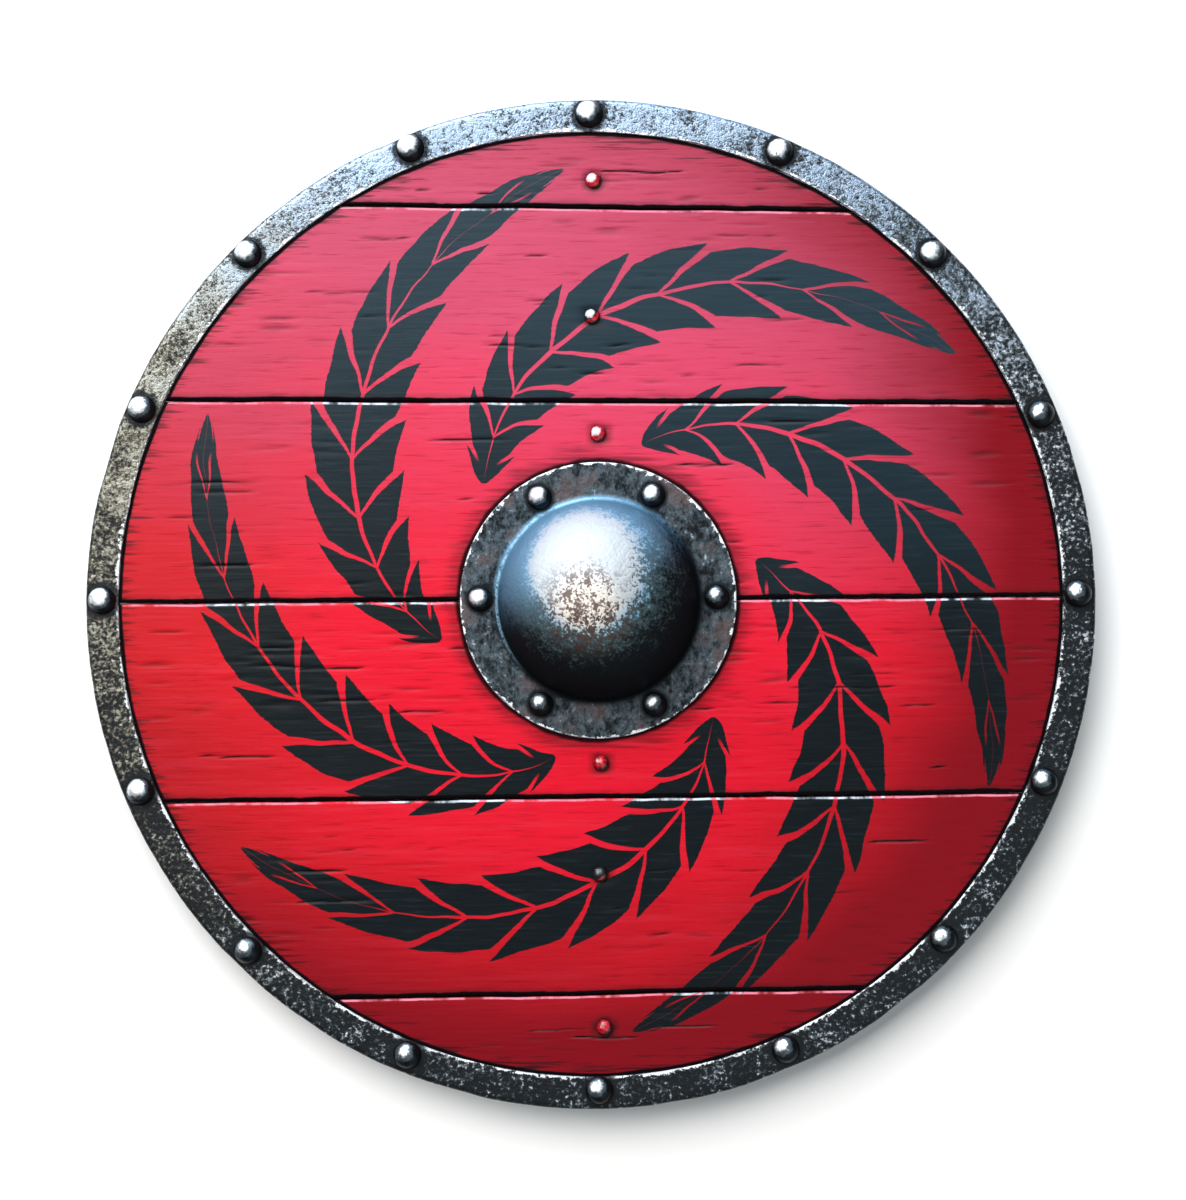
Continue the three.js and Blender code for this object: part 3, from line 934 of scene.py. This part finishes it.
def make_board(name, lower, upper):
    """One board: a planed block, bevelled along its seams, cut to the disc and round the hand hole."""
    look = settings().boards
    low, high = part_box(name)
    over = 2 * MM
    bottom = Vector((low.x - over, lower(0), low.z))
    top = Vector((high.x + over, upper(0), high.z))
    board = add_block(name + "_painted", bottom, top)
    inner_edges = [edge for edge in (bottom.y, top.y) if abs(edge) < BOARD_RADIUS - 1 * MM]

    def beside_seam(middle):
        return min(abs(middle.y - edge) for edge in inner_edges) < 0.1 * MM

    edit(board)
    lengthwise = runs_along(0)
    pick_edges(board, lengthwise(lambda middle: beside_seam(middle) and middle.z > BOARD_FRONT - 1 * MM))
    bpy.ops.mesh.bevel(offset=look.front_bevel, segments=3, profile=0.6, affect="EDGES")
    pick_edges(board, lengthwise(lambda middle: beside_seam(middle) and middle.z < BOARD_BACK + 1 * MM))
    bpy.ops.mesh.bevel(offset=look.back_bevel, segments=1, affect="EDGES")
    columns = max(40, round(look.columns * (top.x - bottom.x) / (2 * BOARD_RADIUS)))
    pick_edges(board, lengthwise(lambda middle: True))
    bpy.ops.mesh.subdivide(number_cuts=columns)
    rows = max(40, round(look.rows * (top.y - bottom.y) / (120 * MM)))
    wide = 10 * MM
    front = BOARD_FRONT - 1 * MM
    back = BOARD_BACK + 1 * MM
    pick_edges(board, lambda first, second: abs(first.y - second.y) > wide and first.z > front)
    bpy.ops.mesh.subdivide(number_cuts=rows)
    pick_edges(board, lambda first, second: abs(first.y - second.y) > wide and first.z < back)
    bpy.ops.mesh.subdivide(number_cuts=rows // 3)
    bpy.ops.object.mode_set(mode="OBJECT")

    def fitted(place, normal):
        share = (place.y - bottom.y) / (top.y - bottom.y)
        rise_below = lower(place.x) - bottom.y
        rise_above = upper(place.x) - top.y
        place.y += rise_below + (rise_above - rise_below) * share
        return place

    sculpt(board, fitted)
    below = BOARD_BACK - 5 * MM
    above = BOARD_FRONT + 5 * MM
    disc = add_cylinder("disc", Vector(), BOARD_RADIUS, below, above, 256)
    cut_with(board, disc, "INTERSECT")
    if min(abs(edge - BOSS_CENTRE.y) for edge in inner_edges) < 2 * MM:
        hole = add_cylinder("hole", BOSS_CENTRE, look.hand_hole, below, above, 128)
        cut_with(board, hole, "DIFFERENCE")
    return board


def within_8(distance):
    """A distance in millimetres, no more than 8 either way."""
    return min(max(distance / MM, -8.0), 8.0)


class SHIELD_OT_boards(bpy.types.Operator):
    """Make the six painted boards"""

    bl_idname = "shield.boards"
    bl_label = "Boards"

    def execute(self, context):
        material = painted_boards()
        cracks = draw_cracks()
        nails = [middle_of(name) for name in NAILS]
        face = BOARD_FRONT - 3 * MM
        for number, name in enumerate(BOARDS):
            lower, upper = board_edges(number)
            board = make_board(name, lower, upper)
            stain(board, "crack", lambda place: crack_at(place, cracks) if place.z > face else 0)
            stain(board, "gouge", lambda place: gouge_at(place) if place.z > face else 0)
            stain(board, "grime", lambda place: nail_ring_at(place, nails))
            stain(board, "above_seam", lambda place: within_8(place.y - lower(place.x)))
            stain(board, "below_seam", lambda place: within_8(upper(place.x) - place.y))
            weathered_board(board, 4.0 * number, cracks, nails)
            soften(board, 40)
            dress(board, material, "painted_board", name)
        return {"FINISHED"}


# ---------------------------------------------------------------- rim


def rim_outline():
    """The rim's folded section, as a closed (radius, level) outline."""
    steel = settings().steel
    inner = SHIELD_RADIUS - steel.front_width
    back_inner = SHIELD_RADIUS - steel.back_width
    bend = SHIELD_RADIUS - steel.fold
    top = SHEET_TOP
    bottom = RIM_LOW.z
    lip = 0.6 * MM
    fine = 1.4 * MM
    coarse = 5 * MM
    inside = SHIELD_RADIUS - steel.sheet
    return [
        *stretch((inner, BOARD_FRONT + 0.05 * MM), (inner, top - lip), 0.6 * MM),
        *arc((inner + lip, top - lip), lip, lip, 180, 90, 3)[:-1],
        *stretch((inner + lip, top), (bend, top), fine),
        *arc((bend, top - steel.fold), steel.fold, steel.fold, 90, 0, 5)[:-1],
        *stretch((SHIELD_RADIUS, top - steel.fold), (SHIELD_RADIUS, bottom + steel.fold), fine),
        *arc((bend, bottom + steel.fold), steel.fold, steel.fold, 0, -90, 5)[:-1],
        *stretch((bend, bottom), (back_inner, bottom), 2 * fine),
        *stretch((back_inner, bottom), (back_inner, bottom + steel.sheet), 0.8 * MM),
        *stretch((back_inner, bottom + steel.sheet), (inside, bottom + steel.sheet), coarse),
        *stretch((inside, bottom + steel.sheet), (inside, BOARD_FRONT + 0.05 * MM), coarse),
        *stretch((inside, BOARD_FRONT + 0.05 * MM), (inner, BOARD_FRONT + 0.05 * MM), coarse),
    ]


def battering(place, steel):
    """Depth of the hammer marks and pits at a place, in metres."""
    blows = 0.5 + 0.5 * noise.noise(place * 75) + 0.25 * noise.noise(place * 160)
    pits = smooth_step(noise.noise(place * 360), 0.12, 0.42)
    return steel.hammer_depth * max(blows, 0) + steel.pit_depth * pits


def to_nearest(place, rivets):
    """Distance to the nearest rivet's axis in millimetres, no more than 30."""
    return min(30.0, *(math.hypot(place.x - rivet.x, place.y - rivet.y) / MM for rivet in rivets))


class SHIELD_OT_rim(bpy.types.Operator):
    """Make the forged rim"""

    bl_idname = "shield.rim"
    bl_label = "Rim"

    def execute(self, context):
        steel = settings().steel
        rim = spin_outline("rim_forged", rim_outline(), Vector(), steel.rim_steps)
        inner = SHIELD_RADIUS - steel.front_width
        middle = (SHEET_TOP + RIM_LOW.z) / 2

        def moved(place, normal):
            radius = math.hypot(place.x, place.y)
            outward = Vector((place.x / radius, place.y / radius, 0))
            inside_channel = normal.dot(outward) < -0.5 and radius > inner + 5 * MM
            facing_boards = abs(normal.z) > 0.5 and (normal.z < 0) == (place.z > middle)
            if inside_channel or facing_boards:
                return place
            depth = battering(place, steel)
            edge = wander(place.x * 22, place.y * 22, 4.0) + 0.5 * wander(place.x * 70, place.y * 70, 9.0)
            if place.z > middle and radius < inner + 8 * MM:
                near = 1 - smooth_step(radius, inner, inner + 8 * MM)
                return place - normal * depth + outward * (edge * steel.edge_wander * near)
            dent = max(0.0, wander(place.x * 30, place.y * 30, 6.0) - 0.05) * steel.outline_dents
            near = smooth_step(radius, SHIELD_RADIUS - 6 * MM, SHIELD_RADIUS)
            return place - normal * depth - outward * (dent * near * 2)

        stain(rim, "to_rivet", lambda place: to_nearest(place, RIM_RIVET_PLACES))
        stain(rim, "relief", lambda place: 1 - battering(place, steel) / (steel.hammer_depth * 1.5))
        sculpt(rim, moved)
        soften(rim, 50)
        dress(rim, rim_steel(), "rim_steel", "rim")
        return {"FINISHED"}


# ---------------------------------------------------------------- boss


def boss_outline():
    """The raised sheet of the boss: a closed (radius, level) outline from flange edge to crown and back."""
    steel = settings().steel
    base = SHEET_TOP
    height = BOSS_HIGH.z - base
    fillet = steel.dome_fillet
    radius = steel.dome_radius
    start = math.degrees(math.asin(fillet / height))
    wall = radius * math.cos(math.radians(start))
    fine = 1.2 * MM
    lip = 0.5 * MM
    foot = BOARD_FRONT + 0.05 * MM
    inner_radius = radius - steel.sheet
    inner_height = height - steel.sheet
    inner_fillet = fillet + steel.sheet
    inner_start = math.degrees(math.asin(fillet / inner_height))
    outside = [
        *stretch((FLANGE_RADIUS, foot), (FLANGE_RADIUS, base - lip), 0.6 * MM),
        *arc((FLANGE_RADIUS - lip, base - lip), lip, lip, 0, 90, 3)[:-1],
        *stretch((FLANGE_RADIUS - lip, base), (wall + fillet, base), fine),
        *arc((wall + fillet, base + fillet), fillet, fillet, 270, 180, 8)[:-1],
        *arc((0, base), radius, height, start, 90, 56)[:-1],
        (0, base + height),
    ]
    inside = [
        *stretch((FLANGE_RADIUS, foot), (wall + inner_fillet, foot), 6 * MM),
        *arc((wall + fillet, base + fillet), inner_fillet, inner_fillet, 270, 180, 4)[:-1],
        *arc((0, base), inner_radius, inner_height, inner_start, 90, 18)[:-1],
        (0, base + inner_height),
    ]
    return [*outside, *reversed(inside[1:])]


def hollow_at(place):
    """1 on the hollow side of the dome, and 0 on the rest of the boss."""
    radius = settings().steel.dome_radius
    from_axis = place - BOSS_CENTRE
    height = (place.z - SHEET_TOP) / (BOSS_HIGH.z - SHEET_TOP)
    shell = Vector((from_axis.x / radius, from_axis.y / radius, height))
    return 1.0 if shell.length < 0.985 else 0.0


class SHIELD_OT_boss(bpy.types.Operator):
    """Make the raised boss"""

    bl_idname = "shield.boss"
    bl_label = "Boss"

    def execute(self, context):
        steel = settings().steel
        boss = spin_outline("boss_raised", boss_outline(), BOSS_CENTRE, steel.boss_steps)

        def moved(place, normal):
            from_axis = place - BOSS_CENTRE
            radius = math.hypot(from_axis.x, from_axis.y)
            hollow_side = place.z > SHEET_TOP and hollow_at(place)
            if hollow_side or normal.z < -0.3:
                return place
            planish = 0.5 + 0.5 * noise.noise(place * 110)
            pits = smooth_step(noise.noise(place * 420), 0.10, 0.40)
            depth = 0.22 * MM * planish + 0.10 * MM * pits
            outward = Vector((from_axis.x, from_axis.y, 0)) / max(radius, 1 * MM)
            near = smooth_step(radius, FLANGE_RADIUS - 4 * MM, FLANGE_RADIUS)
            notches = max(0, wander(place.x * 130, place.y * 130, 8.0))
            nick = 0.35 * wander(place.x * 60, place.y * 60, 3.0) + notches
            return place - normal * depth - outward * (0.8 * MM * nick * near)

        stain(boss, "to_rivet", lambda place: to_nearest(place, BOSS_RIVET_PLACES))
        stain(boss, "hollow", hollow_at)
        sculpt(boss, moved)
        soften(boss, 50)
        dress(boss, boss_steel(), "boss_steel", "boss")
        return {"FINISHED"}


# ---------------------------------------------------------------- grip


def grip_half_width(y):
    """Half the width of the bar at a distance along it from its middle."""
    neck, full, end = 15 * MM, 22 * MM, 15 * MM
    neck_end, shoulder = 46 * MM, 76 * MM
    tip = GRIP_HIGH.y
    tip_corner = tip - end / 2
    along = abs(y)
    if along < shoulder:
        return neck + (full - neck) * smooth_step(along, neck_end, shoulder)
    if along < tip_corner:
        return full + (end - full) * (along - shoulder) / (tip_corner - shoulder)
    return end * math.sqrt(max(0.0, 1 - ((along - tip_corner) / (tip - tip_corner + 0.3 * MM)) ** 2))


class SHIELD_OT_grip(bpy.types.Operator):
    """Make the grip bar behind the boards"""

    bl_idname = "shield.grip"
    bl_label = "Grip"

    def execute(self, context):
        bar = add_block("grip_bar", GRIP_LOW, GRIP_HIGH)
        middle_x = (GRIP_LOW.x + GRIP_HIGH.x) / 2
        half_box = (GRIP_HIGH.x - GRIP_LOW.x) / 2
        edge = 3 * MM
        edit(bar)
        pick_edges(bar, runs_along(1)(lambda middle: True))
        bpy.ops.mesh.bevel(offset=edge, segments=3, profile=0.5, affect="EDGES")
        pick_edges(bar, runs_along(1)(lambda middle: True))
        bpy.ops.mesh.subdivide(number_cuts=360)
        pick_edges(bar, lambda first, second: abs(first.x - second.x) > 10 * MM)
        bpy.ops.mesh.subdivide(number_cuts=16)
        bpy.ops.object.mode_set(mode="OBJECT")

        def moved(place, normal):
            half = grip_half_width(place.y)
            place.x = middle_x + (place.x - middle_x) * half / half_box
            tip = smooth_step(abs(place.y), GRIP_HIGH.y - 5 * MM, GRIP_HIGH.y)
            if place.z < GRIP_LOW.z + 4 * MM:
                place.z += tip * 2.5 * MM
            carve = 0.18 * MM * (1 + wander(place.x * 60, place.y * 9, 3.0))
            place.x += (middle_x - place.x) / half_box * carve
            flat_back = place.z < GRIP_LOW.z + 0.2 * MM
            if not flat_back and normal.z < 0.5:
                place.z += 0.10 * MM * (1 + wander(place.x * 300, place.y * 12, 6.0))
            return place

        sculpt(bar, moved)
        sink_bottom = GRIP_LOW.z - 5 * MM
        sink_top = GRIP_LOW.z + 3 * MM
        for nail in NAILS:
            sink = add_cylinder("sink", middle_of(nail), 5.45 * MM, sink_bottom, sink_top, 28)
            cut_with(bar, sink, "DIFFERENCE")
            mend(bar)
        soften(bar, 35)
        dress(bar, bare_timber(), "bare_wood", "grip")
        return {"FINISHED"}


# ---------------------------------------------------------------- rivets and nails


def fastener_outline(head, head_height, shank, tail, seat, foot, tip):
    """Half outline of a rivet or nail, from the tail's tip up to the top of the head, closed along the axis.
    """
    return [
        (0, tip),
        *arc((0, foot), tail, foot - tip, -80, -5, 5),
        (tail, foot),
        (shank, foot),
        *stretch((shank, foot + 0.3 * MM), (shank, seat), 4 * MM),
        (head - 0.3 * MM, seat),
        *arc((0, seat + 0.4 * MM), head, head_height - 0.4 * MM, 0, 90, 12)[:-1],
        (0, seat + head_height),
    ]


def lit_crown_at(place, point, seat, head_height, reach):
    """1 near the top of a head, leaning towards its top left and lower on heads towards the shield's lower
    right, down to 0 at the foot; it places a painted highlight and painted shade.
    """
    height = (point.z - seat) / head_height
    lean = (0.42 * point.y - 0.36 * point.x) / reach
    # Painted shade: heads towards the shield's lower right get a smaller highlight and more shade.
    away = smooth_step((0.7 * place.x - place.y) / SHIELD_RADIUS, -0.35, 0.15)
    return height + lean - 0.03 - 0.25 * away


def place_fasteners(model, nodes, suffix, bash, material, slot):
    """Copies the model to each node, hammers each copy its own way, and dresses it."""
    for node in nodes:
        low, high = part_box(node)
        place = middle_of(node)
        copy = model.copy()
        copy.data = model.data.copy()
        copy.name = node + suffix
        bpy.context.collection.objects.link(copy)
        copy.location = place
        settle(copy)
        reach = (high.x - low.x) / 2
        head_height = 0.75 * reach
        seat = high.z - head_height

        def moved(point, normal):
            if point.z < seat:
                return point
            blows = 0.5 + 0.5 * noise.noise(point * 230)
            facets = noise.voronoi(point * 210)[0][0]
            return point - normal * (bash * (0.6 * blows + 0.9 * facets))

        stain(copy, "crown", lambda point: lit_crown_at(place, point - place, seat, head_height, reach))
        sculpt(copy, moved)
        soften(copy, 40)
        dress(copy, material, slot, node)
    mesh = model.data
    bpy.data.objects.remove(model)
    bpy.data.meshes.remove(mesh)


class SHIELD_OT_rivets(bpy.types.Operator):
    """Make the rivets of the rim and of the boss"""

    bl_idname = "shield.rivets"
    bl_label = "Rivets"

    def execute(self, context):
        material = rivet_steel()
        seat = SHEET_TOP - 0.2 * MM
        for nodes, shank in ((RIM_RIVETS, 3 * MM), (BOSS_RIVETS, 2.5 * MM)):
            low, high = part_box(nodes[0])
            head = (high.y - low.y) / 2
            foot = low.z + 2.2 * MM
            outline = fastener_outline(head, high.z - seat, shank, 5.5 * MM, seat, foot, low.z)
            model = spin_outline("rivet_model", outline, Vector(), 40)
            place_fasteners(model, nodes, "_hammered", 0.30 * MM, material, "rivet_steel")
        return {"FINISHED"}


class SHIELD_OT_nails(bpy.types.Operator):
    """Make the painted nails down the middle of the boards"""

    bl_idname = "shield.nails"
    bl_label = "Nails"

    def execute(self, context):
        low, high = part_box(NAILS[0])
        seat = BOARD_FRONT - 0.3 * MM
        head = (high.x - low.x) / 2
        outline = fastener_outline(head, high.z - seat, 2 * MM, 4.5 * MM, seat, low.z + 2 * MM, low.z)
        model = spin_outline("nail_model", outline, Vector(), 32)
        place_fasteners(model, NAILS, "_painted", 0.15 * MM, painted_nail(), "painted_nail")
        return {"FINISHED"}


# ---------------------------------------------------------------- stage


def add_floor():
    """The pale floor that the shield lies on."""
    start_fresh()
    bpy.ops.mesh.primitive_grid_add(x_subdivisions=8, y_subdivisions=8, size=settings().studio.floor_size)
    floor = bpy.context.active_object
    floor.name = "floor"
    settle(floor)
    floor.data.materials.append(pale_floor())


def add_soft_light(name, place, width, height, power, tint):
    """A soft rectangular light that points at the shield's middle."""
    bpy.ops.object.light_add(type="AREA", location=place)
    lamp = bpy.context.active_object
    lamp.name = name
    lamp.data.shape = "RECTANGLE"
    lamp.data.size = width
    lamp.data.size_y = height
    lamp.data.energy = power
    lamp.data.color = tint
    lamp.rotation_euler = (-Vector(place)).to_track_quat("-Z", "Y").to_euler()


def add_camera():
    """A camera straight above the face, framed as a plain record view."""
    look = settings().studio
    sensor = 36
    height = look.view_height * look.focal_length / sensor + BOARD_FRONT
    tilt = math.radians(-0.42)
    bpy.ops.object.camera_add(location=(1.3 * MM, 2.7 * MM, height), rotation=Euler((0, 0, tilt)))
    camera = bpy.context.active_object
    camera.data.lens = look.focal_length
    camera.data.sensor_width = sensor
    camera.data.dof.use_dof = False
    bpy.context.scene.camera = camera


class SHIELD_OT_stage(bpy.types.Operator):
    """Set up the floor, the light and the camera"""

    bl_idname = "shield.stage"
    bl_label = "Stage"

    def execute(self, context):
        look = settings().studio
        add_floor()
        add_soft_light("key_light", (-1.0, 1.5, 2.2), look.key_width, 3.0, look.key_power, (1.0, 0.98, 0.95))
        add_soft_light("low_light", (-0.35, 1.7, 0.75), 2.0, 1.0, look.low_power, (0.62, 0.80, 1.0))
        add_soft_light("far_light", (0.9, -1.2, 1.5), 2.0, 2.0, look.far_power, (0.90, 0.97, 1.0))
        add_camera()
        world = bpy.data.worlds.new("studio")
        context.scene.world = world
        world.use_nodes = True
        surroundings = world.node_tree.nodes["Background"].inputs
        surroundings["Color"].default_value = (0.80, 0.92, 1.0, 1)
        surroundings["Strength"].default_value = look.fill
        context.scene.view_settings.view_transform = "Standard"
        context.scene.view_settings.look = "None"
        return {"FINISHED"}


# ---------------------------------------------------------------- panel and registration


class SHIELD_PT_panel(bpy.types.Panel):
    """Lists the steps that dress the shield, and their settings."""

    bl_idname = "SHIELD_PT_panel"
    bl_label = "Round Shield"
    bl_space_type = "VIEW_3D"
    bl_region_type = "UI"
    bl_category = "Shield"

    def draw(self, context):
        for operator in OPERATORS:
            self.layout.operator(operator.bl_idname)
        for group in ("boards", "whirl", "steel", "studio"):
            column = self.layout.column(heading=group.title())
            values = getattr(context.scene.round_shield, group)
            for name in values.__annotations__:
                column.prop(values, name)


OPERATORS = (
    SHIELD_OT_stage,
    SHIELD_OT_boards,
    SHIELD_OT_rim,
    SHIELD_OT_boss,
    SHIELD_OT_grip,
    SHIELD_OT_rivets,
    SHIELD_OT_nails,
)
CLASSES = (
    BoardSettings,
    WhirlSettings,
    SteelSettings,
    StudioSettings,
    ShieldSettings,
    *OPERATORS,
    SHIELD_PT_panel,
)


def register():
    for kind in CLASSES:
        bpy.utils.register_class(kind)
    bpy.types.Scene.round_shield = bpy.props.PointerProperty(type=ShieldSettings)


def unregister():
    del bpy.types.Scene.round_shield
    for kind in reversed(CLASSES):
        bpy.utils.unregister_class(kind)


def main():
    register()
    bpy.ops.shield.stage()
    bpy.ops.shield.boards()
    bpy.ops.shield.rim()
    bpy.ops.shield.boss()
    bpy.ops.shield.grip()
    bpy.ops.shield.rivets()
    bpy.ops.shield.nails()


if __name__ == "__main__":
    main()
